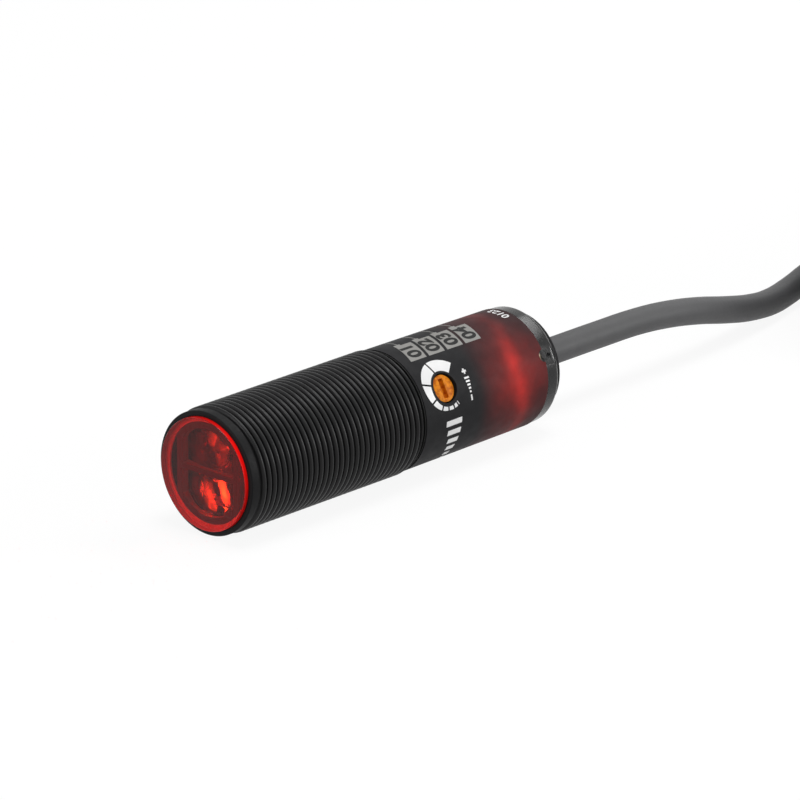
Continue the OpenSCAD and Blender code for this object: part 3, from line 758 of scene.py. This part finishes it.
def hank_height(loops):
    """The height of the cable's middle there; each climb is along a run."""
    done = loops - LOOPS_PER_LAYER * hank_layer(loops)
    if hank_layer(loops) == 0:
        return HANK_FLOOR
    return HANK_FLOOR + HANK_RISE * (hank_layer(loops) - 1 + clamp01(2 * done / RUN_SHARE))


def drawn_in(share):
    """How far a run is pulled in by the tie at its middle."""
    return HANK_WAIST * (1 - math.cos(2 * math.pi * share)) / 2


def hank_point(loops):
    """A point of the hank after so many loops: a straight run and then a half turn, to and fro."""
    half = math.floor(2 * loops)
    part = 2 * loops - half
    side = -1 if half % 2 == 0 else 1
    radius = hank_radius(loops)
    if part <= RUN_SHARE:
        share = part / RUN_SHARE
        x = radius - drawn_in(share)
        y = HANK_RUN * (share - 0.5)
    else:
        angle = math.pi * (part - RUN_SHARE) / (1 - RUN_SHARE)
        x = radius * math.cos(angle)
        y = HANK_RUN / 2 + radius * math.sin(angle)
    return Vector((HANK_X + side * x, HANK_NEAR_Y + HANK_RUN / 2 - side * y, hank_height(loops)))


# The cable's free stretch: from the plug's face it comes down to the floor and on to the hank
CABLE_EXIT = Vector((0.0, FACE_Y / MM + BODY_LEN, AXIS_Z / MM))
FREE_ROUTE = [
    (0.0, 40.0, 9.0), (0.0, 48.0, 9.0), (0.0, 56.0, 8.9), (-0.2, 63.0, 8.2), (-0.6, 70.0, 6.9),
    (-1.4, 77.0, 5.1), (-2.7, 84.0, 3.4), (-4.2, 90.5, 2.4), (-5.8, 96.5, 2.3),
]
LEAD = Vector((0.0, LEAD_IN, 0.0))
HANK_FINISH = hank_point(HANK_LOOPS) - LEAD


def cable_route():
    """From the plug's face down to the floor and through the hank, in millimetres."""
    points_per_loop = 32
    steps = round(HANK_LOOPS * points_per_loop)
    wound = [hank_point(step / points_per_loop) for step in range(steps + 1)]
    start = hank_point(0.0)
    free = [CABLE_EXIT] + [Vector(point) for point in FREE_ROUTE]
    approach = [start - LEAD * 2, start - LEAD]
    return free + approach + wound + [HANK_FINISH]


def add_curve(name, route, diameter, slot, nodes):
    """A round cord through the points of a route given in millimetres."""
    curve = bpy.data.curves.new(name, "CURVE")
    curve.dimensions = "3D"
    curve.bevel_depth = diameter / 2 * MM
    curve.bevel_resolution = 5
    curve.resolution_u = 4
    curve.use_fill_caps = True
    spline = curve.splines.new("BEZIER")
    spline.bezier_points.add(len(route) - 1)
    for point, place in zip(spline.bezier_points, route):
        point.co = place * MM
        point.handle_left_type = "AUTO"
        point.handle_right_type = "AUTO"
    cord = new_object(name, curve)
    curve.materials.append(FINISHES[slot])
    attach(cord, "sensor")
    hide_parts(*nodes)
    return cord


# The stripped cores: where they leave the cable's end, and the lanes that they lie in on the hank
CORE_NAMES = ("core_brown", "core_blue", "core_black", "core_white")
CORE_OFFSET = 0.2 * CABLE_D
CORE_SIDES = ((-1, -1), (1, -1), (1, 1), (-1, 1))
CORE_LANES = (-0.95, 2.05, 1.05, 0.05)
CORE_GAP = 0.6
CORE_LANE_STEP = CORE_D + CORE_GAP
CORE_REST_GAP = 0.15
CORE_HEIGHT = HANK_FLOOR + 2 * HANK_RISE + (CABLE_D + CORE_D) / 2 + CORE_REST_GAP


def eased(value):
    """A smooth step from 0 to 1."""
    share = clamp01(value)
    return share * share * (3 - 2 * share)


def core_place(index):
    """Where a core lies in the cable's end, sideways and up from its middle."""
    side, level = CORE_SIDES[index]
    return side * CORE_OFFSET, level * CORE_OFFSET


def core_point(index, share):
    """A point of a stripped core at a share of its length, in millimetres."""
    lane_rate = 5
    rise_rate = 3
    from_x, from_z = core_place(index)
    gone = CORE_D + share * (CORE_LEN - CORE_D)
    run = (LEAD_IN + gone) / HANK_RUN
    lane = CORE_LANE_STEP * CORE_LANES[index]
    x = from_x + (lane - from_x) * eased(lane_rate * share) - drawn_in(run)
    height = HANK_FINISH.z + from_z
    z = height + (CORE_HEIGHT - height) * eased(rise_rate * share)
    return Vector((HANK_FINISH.x + x, HANK_FINISH.y - gone, z))


def core_route(index):
    """A core from the cable's end to its own tip, in millimetres."""
    from_x, from_z = core_place(index)
    start = HANK_FINISH + Vector((from_x, 0.0, from_z))
    steps = 18
    return [start] + [core_point(index, step / steps) for step in range(steps + 1)]


def twisted_tip(work, start):
    """The tinned strands of one core: a twisted bundle with a rounded end."""
    sides = 28
    rings = 30
    strands = 7
    groove = 0.14
    round_share = 0.04
    least_share = 0.05
    twist = math.radians(420.0)
    previous = None
    for ring in range(rings + 1):
        along = ring / rings
        into_end = max(0.0, (along - 1 + round_share) / round_share)
        end_round = max(least_share, math.sqrt(max(0.0, 1 - into_end ** 2)))
        loop = []
        for side in range(sides):
            angle = 2 * math.pi * side / sides
            lobe = abs(math.cos(strands / 2 * (angle - twist * along)))
            radius = TIP_D / 2 * (1 - groove + groove * lobe) * end_round
            offset = Vector((radius * math.cos(angle), -TIP_LEN * along, radius * math.sin(angle)))
            loop.append(work.verts.new((start + offset) * MM))
        if previous:
            for side in range(sides):
                after = (side + 1) % sides
                work.faces.new((previous[side], previous[after], loop[after], loop[side]))
        else:
            work.faces.new(list(reversed(loop)))
        previous = loop
    work.faces.new(previous)


def add_core_tips():
    """The tinned ends of all the cores, as one piece."""
    work = bmesh.new()
    for index in range(len(CORE_NAMES)):
        twisted_tip(work, core_point(index, 1.0))
    bmesh.ops.recalc_face_normals(work, faces=work.faces)
    return add_piece("core_tips_shown", to_mesh(work, "core_tips"), "tinned_metal", ["core_tips"])


def add_cable():
    """The cable with its tie and its stripped end."""
    route = cable_route()
    cable = add_curve("supply_cable_shown", route, CABLE_D, "cable_grey", ["supply_cable", "cable_hank"])
    cores = [add_curve(name + "_shown", core_route(index), CORE_D, name, [name])
             for index, name in enumerate(CORE_NAMES)]
    tie = rounded_node("cable_tie", "tie_white", width_mm=0.25)
    tips = add_core_tips()


add_cable()

# Window, ring and barrel


def ridge_rise(tree, given, pitch_count):
    """How high the round outline of a ridge is at a place across it, from 0 to 1."""
    from_crest = calc(tree, "ABSOLUTE", calc(tree, "SUBTRACT", calc(tree, "FRACT", pitch_count), 0.5))
    from_crest = calc(tree, "MULTIPLY", from_crest, given["Pitch"])
    across = calc(tree, "DIVIDE", from_crest, calc(tree, "MULTIPLY", given["Ridge width"], 0.5))
    rest = calc(tree, "SUBTRACT", 1.0, calc(tree, "MULTIPLY", across, across))
    return calc(tree, "SQRT", calc(tree, "MAXIMUM", rest, 0.0))


def thread_tree():
    """A screw thread with round ridges as one sheet wound round the axis, run out at both ends."""
    tree, given = new_tree(
        "screw_thread",
        ["Root radius", "Depth", "Pitch", "Ridge width", "Start", "Length", "Run-out", "Axis height"],
        ["Segments", "Rows per pitch"],
    )
    pitches = calc(tree, "ADD", calc(tree, "DIVIDE", given["Length"], given["Pitch"]), 1.0)
    rows = calc(tree, "CEIL", calc(tree, "MULTIPLY", pitches, given["Rows per pitch"]))
    sheet = put(tree, "GeometryNodeMeshGrid", {
        "Size X": 1.0, "Size Y": 1.0,
        "Vertices X": calc(tree, "ADD", given["Segments"], 1.0), "Vertices Y": calc(tree, "ADD", rows, 1.0),
    }).outputs["Mesh"]
    flat = point_place(tree)
    turn = calc(tree, "ADD", flat["X"], 0.5)
    row = calc(tree, "MULTIPLY", calc(tree, "ADD", flat["Y"], 0.5), rows)
    pitch_count = calc(tree, "DIVIDE", row, given["Rows per pitch"])
    wound = calc(tree, "SUBTRACT", calc(tree, "ADD", pitch_count, turn), 1.0)
    along = calc(tree, "MULTIPLY", wound, given["Pitch"])
    along = calc(tree, "MINIMUM", calc(tree, "MAXIMUM", along, 0.0), given["Length"])
    rise = ridge_rise(tree, given, pitch_count)
    to_end = calc(tree, "MINIMUM", along, calc(tree, "SUBTRACT", given["Length"], along))
    fade = ease(tree, to_end, 0.0, given["Run-out"])
    lift = calc(tree, "MULTIPLY", calc(tree, "MULTIPLY", rise, fade), given["Depth"])
    radius = calc(tree, "ADD", given["Root radius"], lift)
    angle = calc(tree, "MULTIPLY", turn, 2 * math.pi)
    x = calc(tree, "MULTIPLY", radius, calc(tree, "SINE", angle))
    z = calc(tree, "ADD", calc(tree, "MULTIPLY", radius, calc(tree, "COSINE", angle)), given["Axis height"])
    y = calc(tree, "ADD", given["Start"], along)
    wound_sheet = moved_to(tree, sheet, x, y, z)
    close_tree(tree, joined_up(tree, wound_sheet, THREAD_WELD), given["Material"])
    return tree


def lathe(work, profile, segments):
    """Turns an open outline of (radius, depth) points round the axis."""
    rings = []
    for radius, depth in profile:
        ring = [around_axis(radius, depth, 90.0 - 360.0 * step / segments) for step in range(segments)]
        rings.append([work.verts.new(place) for place in ring])
    for front, back in zip(rings, rings[1:]):
        for step in range(segments):
            after = (step + 1) % segments
            work.faces.new((front[step], front[after], back[after], back[step]))


def add_barrel():
    """The barrel: a wound thread on a plain tube with a neck for the front ring."""
    sizes = {
        "Root radius": ROOT_R * MM, "Depth": THREAD_DEPTH * MM, "Pitch": THREAD_PITCH * MM,
        "Ridge width": RIDGE_WIDTH * MM, "Start": FACE_Y + THREAD_START * MM, "Length": THREAD_LEN * MM,
        "Run-out": THREAD_RUN_OUT * MM, "Axis height": AXIS_Z, "Segments": THREAD_SEGMENTS,
        "Rows per pitch": THREAD_ROWS, "Material": FINISHES["black_plastic"],
    }
    thread = evaluated("thread", bpy.data.meshes.new("thread_base"), (thread_tree(), sizes))
    work = bmesh.new()
    work.from_mesh(thread)
    outline = [
        (ROOT_R, THREAD_START), (ROOT_R, RING_BACK), (WINDOW_R, RING_BACK), (WINDOW_R, SEAT_DEPTH),
        (BORE_R, SEAT_DEPTH), (BORE_R, BARREL_END), (ROOT_R, BARREL_END), (ROOT_R, BARREL_END - REAR_LAND),
    ]
    lathe(work, outline, THREAD_SEGMENTS)
    bmesh.ops.remove_doubles(work, verts=work.verts, dist=THREAD_WELD * MM)
    bmesh.ops.recalc_face_normals(work, faces=work.faces)
    mesh = to_mesh(work, "threaded_barrel")
    mesh.set_sharp_from_angle(angle=CREST_ANGLE)
    return add_piece("threaded_barrel_shown", mesh, "black_plastic", ["threaded_barrel"])


def add_window():
    """The red window, whose side wall has a ground finish and a painted glow."""
    wall_from = 0.95 * WINDOW_R
    window = smoothed_node("front_window", "red_window")
    window.data.materials.append(WINDOW_EDGE_GLOW)
    # The side wall takes the second material: a ground finish with painted glow.
    for face in window.data.polygons:
        out = math.hypot(face.center.x, face.center.z - AXIS_Z) / MM
        if out > wall_from and abs(face.normal.y) < 0.5:
            face.material_index = 1


add_window()
smoothed_node("front_ring", "black_plastic", material=RING_BLACK)
add_barrel()

# Sleeve, label, adjuster and plug

smoothed_node("rear_sleeve", "clear_sleeve")
smoothed_node("label_film", "label_print")
rounded_node("sensitivity_adjuster", "adjuster_orange", width_mm=0.1, body="adjuster")
smoothed_node("rear_plug", "black_plastic", material=RING_BLACK)
smoothed_node("cable_bush", "black_rubber")

# Printing on the label


def print_tree():
    """Lays a flat drawing on the label: X runs along the depth and Y round the barrel."""
    tree, given = new_tree(
        "print_on_label",
        ["Front radius", "Slope", "Label start", "Face", "Axis height", "Lift", "Thickness", "Middle depth",
         "Middle turn"],
        ["Cuts"],
    )
    cut = put(tree, "GeometryNodeSubdivideMesh", {"Mesh": given["Geometry"], "Level": given["Cuts"]})
    flat = point_place(tree)
    depth = calc(tree, "ADD", given["Middle depth"], flat["X"])
    narrowed = calc(tree, "MULTIPLY", calc(tree, "SUBTRACT", depth, given["Label start"]), given["Slope"])
    surface = calc(tree, "SUBTRACT", given["Front radius"], narrowed)
    radius = calc(tree, "ADD", surface, given["Lift"])
    turn = calc(tree, "ADD", given["Middle turn"], calc(tree, "DIVIDE", flat["Y"], surface))
    x = calc(tree, "MULTIPLY", radius, calc(tree, "COSINE", turn))
    z = calc(tree, "ADD", calc(tree, "MULTIPLY", radius, calc(tree, "SINE", turn)), given["Axis height"])
    y = calc(tree, "ADD", given["Face"], depth)
    laid = moved_to(tree, cut.outputs["Mesh"], x, y, z)
    raised = put(tree, "GeometryNodeExtrudeMesh", {
        "Mesh": laid, "Offset Scale": given["Thickness"], "Individual": False,
    }).outputs["Mesh"]
    under = put(tree, "GeometryNodeFlipFaces", {"Mesh": laid}).outputs["Mesh"]
    both = put(tree, "GeometryNodeJoinGeometry")
    tree.links.new(raised, both.inputs["Geometry"])
    tree.links.new(under, both.inputs["Geometry"])
    close_tree(tree, joined_up(tree, both.outputs["Geometry"], PRINT_WELD), given["Material"])
    return tree


def bar_row_tree():
    """A flat row of bars: each is a step further than the last, and may be wider by a set growth."""
    tree, given = new_tree(
        "bar_row",
        ["Step X", "Step Y", "Size X", "Size Y", "Growth", "Lean"],
        ["Bars", "Cuts"],
    )
    step = vector_of(tree, given["Step X"], given["Step Y"], 0.0)
    line = put(tree, "GeometryNodeMeshLine", {"Count": given["Bars"], "Offset": step}, mode="OFFSET")
    grid = put(tree, "GeometryNodeMeshGrid", {
        "Size X": 1.0, "Size Y": 1.0, "Vertices X": given["Cuts"], "Vertices Y": given["Cuts"],
    }).outputs["Mesh"]
    number = put(tree, "GeometryNodeInputIndex").outputs["Index"]
    width = calc(tree, "ADD", given["Size X"], calc(tree, "MULTIPLY", given["Growth"], number))
    bars = put(tree, "GeometryNodeInstanceOnPoints", {
        "Points": line.outputs["Mesh"], "Instance": grid,
        "Scale": vector_of(tree, width, given["Size Y"], 1.0),
    }).outputs["Instances"]
    real = put(tree, "GeometryNodeRealizeInstances", {"Geometry": bars}).outputs["Geometry"]
    flat = point_place(tree)
    leaned = calc(tree, "ADD", flat["X"], calc(tree, "MULTIPLY", flat["Y"], given["Lean"]))
    close_tree(tree, moved_to(tree, real, leaned, flat["Y"], flat["Z"]), given["Material"])
    return tree


PRINT_TREE = print_tree()
BAR_ROW_TREE = bar_row_tree()
PRINT_LIFT = 0.004
PRINT_T = 0.012
BAR_CUTS = 9
NUMERAL_CUTS = 2


def printed(name, flat_mesh, depth, turn, material, cuts=0, layer=0, rows=()):
    """A flat drawing laid on the label with its origin at a depth and a turn."""
    places = {
        "Front radius": LABEL_FRONT_R * MM, "Slope": LABEL_SLOPE, "Label start": LABEL_START * MM,
        "Face": FACE_Y, "Axis height": AXIS_Z, "Lift": (PRINT_LIFT + layer * PRINT_T) * MM,
        "Thickness": PRINT_T * MM, "Middle depth": depth * MM, "Middle turn": math.radians(turn),
        "Cuts": cuts, "Material": material,
    }
    mesh = evaluated(name, flat_mesh, *rows, (PRINT_TREE, places))
    smooth(mesh)
    return add_piece(name, mesh, "label_print", material=material)


def bar_row(name, depth, turn, material, size, bars=1, step=(0.0, 0.0), growth=0.0, lean=0.0):
    """A row of printed bars; size and step are (along the depth, round the barrel) in millimetres."""
    sizes = {
        "Step X": step[0] * MM, "Step Y": step[1] * MM, "Size X": size[0] * MM, "Size Y": size[1] * MM,
        "Growth": growth * MM, "Lean": lean, "Bars": bars, "Cuts": BAR_CUTS, "Material": material,
    }
    base = bpy.data.meshes.new(name + "_base")
    return printed(name, base, depth, turn, material, rows=[(BAR_ROW_TREE, sizes)])


def numeral_mesh(digits, height, weight):
    """Plain numerals as a flat mesh, upright towards -X and reading towards +Y, in metres."""
    digit_share = 0.7
    curve = bpy.data.curves.new("numeral", "FONT")
    curve.body = digits
    curve.offset = weight * MM
    curve.size = height / digit_share * MM
    curve.align_x = "CENTER"
    curve.align_y = "CENTER"
    curve.resolution_u = 4
    mesh = taken_from(new_object("numeral", curve))
    mesh.transform(Matrix.Rotation(math.radians(90.0), 4, "Z"))
    work = bmesh.new()
    work.from_mesh(mesh)
    bmesh.ops.remove_doubles(work, verts=work.verts, dist=NUMERAL_WELD * MM)
    bmesh.ops.triangulate(work, faces=work.faces)
    work.to_mesh(mesh)
    work.free()
    return mesh


# The dial's segments: where each starts and ends, and the radii of the ring there
DIAL_EDGES = (43.0, 106.0, 160.5, 207.0, 241.5, 264.5, 285.0, 300.0, 307.0)
DIAL_OUTER = (
    (43.0, 4.3), (106.0, 4.3), (160.0, 4.12), (207.0, 3.55), (242.0, 3.3), (265.0, 3.2), (307.0, 3.4),
)
DIAL_INNER = ((43.0, 2.45), (307.0, 2.75))
DIAL_GAP = 0.28
DIAL_STEP = 4.0
DIAL_CUTS = 4


def between(table, at):
    """The value at a place of a short list of (place, value), in straight lines between them."""
    for (a, first), (b, second) in zip(table, table[1:]):
        if at <= b:
            return first + (second - first) * (at - a) / (b - a)
    return table[-1][1]


def dial_mesh():
    """The dial's ring, cut into segments that get narrower and shorter round the ring."""
    work = bmesh.new()
    for start, stop in zip(DIAL_EDGES, DIAL_EDGES[1:]):
        steps = max(3, round((stop - start) / DIAL_STEP))
        set_in = {0: DIAL_GAP / 2, steps: -DIAL_GAP / 2}
        previous = None
        for step in range(steps + 1):
            angle = start + (stop - start) * step / steps
            inner = between(DIAL_INNER, angle)
            outer = between(DIAL_OUTER, angle)
            out = Vector((math.cos(math.radians(angle)), math.sin(math.radians(angle)), 0.0))
            across = Vector((-out.y, out.x, 0.0)) * set_in.get(step, 0.0)
            radii = [inner + (outer - inner) * cut / DIAL_CUTS for cut in range(DIAL_CUTS + 1)]
            spoke = [work.verts.new((out * radius + across) * MM) for radius in radii]
            if previous:
                for cut in range(DIAL_CUTS):
                    work.faces.new((previous[cut], previous[cut + 1], spoke[cut + 1], spoke[cut]))
            previous = spoke
    bmesh.ops.recalc_face_normals(work, faces=work.faces)
    mesh = bpy.data.meshes.new("dial")
    work.to_mesh(mesh)
    work.free()
    return mesh


# The boxes of the wires, each with a tab and a line above it
WIRES = 4
BOX_LEN = 3.1
BOX_STEP = 3.67
BOX_ROW = (BOX_STEP, 0.0)
BOX_FRONT = 37.0
BOX_FIRST = BOX_FRONT + BOX_LEN / 2
BOX_TURN = 75.7
BOX_HEIGHT = 4.05
BOX_LEAN = 0.2
TAB_LEN = 1.2
TAB_HEIGHT = 0.42
WIRE_W = 0.16
WIRE_LEN = 2.6
NUMBER_HEIGHT = 2.2
NUMBER_WEIGHT = 0.12

# The marks beside the dial, from less to more
SCALE_DEPTH = 44.05
LESS_TURN = 12.0
WEDGE_TURN = 17.5
MORE_TURN = 37.0
MARK_LEN = 0.8
MARK_W = 0.28
WEDGE_BARS = 5
WEDGE_SIZE = (0.3, 0.26)
WEDGE_STEP = (0.0, 0.5)
WEDGE_GROWTH = 0.15

# The row of growing bars below the dial, and the number at the label's rear end
LEVEL_DEPTH = 41.6
LEVEL_TURN = -56.0
LEVEL_BARS = 6
LEVEL_SIZE = (0.6, 0.85)
LEVEL_STEP = (-0.25, 1.55)
LEVEL_GROWTH = 0.5
BATCH_DEPTH = 58.3
BATCH_TURN = 88.0
BATCH_HEIGHT = 1.25
BATCH_WEIGHT = 0.04


def turn_by(length):
    """The turn in degrees that a length round the label makes up."""
    return math.degrees(length / LABEL_FRONT_R)


def above_box(height):
    """The depth and turn above the first box's front corner, at a height over the box's middle."""
    return BOX_FIRST - BOX_LEN / 2 + BOX_LEAN * height, BOX_TURN + turn_by(height)


def add_wire_boxes():
    """A numbered box for each wire of the cable."""
    box = (BOX_LEN, BOX_HEIGHT)
    bar_row("wire_boxes", BOX_FIRST, BOX_TURN, PRINT_GREY, box, WIRES, BOX_ROW, lean=BOX_LEAN)
    for index in range(WIRES):
        name = "wire_number_%d" % (index + 1)
        depth = BOX_FIRST + index * BOX_STEP
        numeral = numeral_mesh("0%d" % (index + 1), NUMBER_HEIGHT, NUMBER_WEIGHT)
        printed(name, numeral, depth, BOX_TURN, PRINT_BLACK, NUMERAL_CUTS, layer=1)


def add_wire_lines():
    """The tab and the line above each box."""
    tab = (TAB_LEN, TAB_HEIGHT)
    depth, turn = above_box(BOX_HEIGHT / 2 + TAB_HEIGHT / 2)
    bar_row("wire_tabs", depth + TAB_LEN / 2, turn, PRINT_GREY, tab, WIRES, BOX_ROW, lean=BOX_LEAN)
    line = (WIRE_W, WIRE_LEN)
    depth, turn = above_box(BOX_HEIGHT / 2 + TAB_HEIGHT + WIRE_LEN / 2)
    bar_row("wire_lines", depth + TAB_LEN / 2, turn, PRINT_GREY, line, WIRES, BOX_ROW)


def add_scale_marks():
    """A minus, a wedge of bars and a plus beside the dial."""
    bar_row("less_mark", SCALE_DEPTH, LESS_TURN, PRINT_WHITE, (MARK_W, MARK_LEN))
    bar_row(
        "sensitivity_wedge", SCALE_DEPTH, WEDGE_TURN, PRINT_WHITE, WEDGE_SIZE, WEDGE_BARS, WEDGE_STEP,
        WEDGE_GROWTH,
    )
    bar_row("more_mark_across", SCALE_DEPTH, MORE_TURN, PRINT_WHITE, (MARK_W, MARK_LEN))
    bar_row("more_mark_along", SCALE_DEPTH, MORE_TURN, PRINT_WHITE, (MARK_LEN, MARK_W))


def add_print():
    """All the printing on the label."""
    printed("sensitivity_dial", dial_mesh(), ADJUSTER_DEPTH, ADJUSTER_TURN, PRINT_WHITE)
    add_wire_boxes()
    bar_row(
        "level_bars", LEVEL_DEPTH, LEVEL_TURN, PRINT_WHITE, LEVEL_SIZE, LEVEL_BARS, LEVEL_STEP,
        LEVEL_GROWTH,
    )
    add_wire_lines()
    add_scale_marks()
    batch = numeral_mesh("0123", BATCH_HEIGHT, BATCH_WEIGHT)
    printed("batch_number", batch, BATCH_DEPTH, BATCH_TURN, PRINT_WHITE, NUMERAL_CUTS)


add_print()

# Inner pieces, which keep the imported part's shape

SLOT_OF = {entry["node"]: entry["material_slot"] for entry in frame["record"]["subparts"]}
for optic in ("window_seal", "lens_holder", "receiver_lens", "emitter_lens", "operation_lamp"):
    smoothed_node(optic, SLOT_OF[optic])
smoothed_node("emitter_led", "led_red", material=EMITTER_LIT)
# Painted glow on the photodiode, for the glints in the receiver lens.
smoothed_node("receiver_photodiode", "chip_black", material=RECEIVER_PAINTED_GLINT)

for node_name, cad_node in frame["nodes"].items():
    if not cad_node.hide_render:
        cad_node.data.materials.clear()
        cad_node.data.materials.append(FINISHES[SLOT_OF[node_name]])

bpy.context.scene.view_settings.view_transform = "Standard"
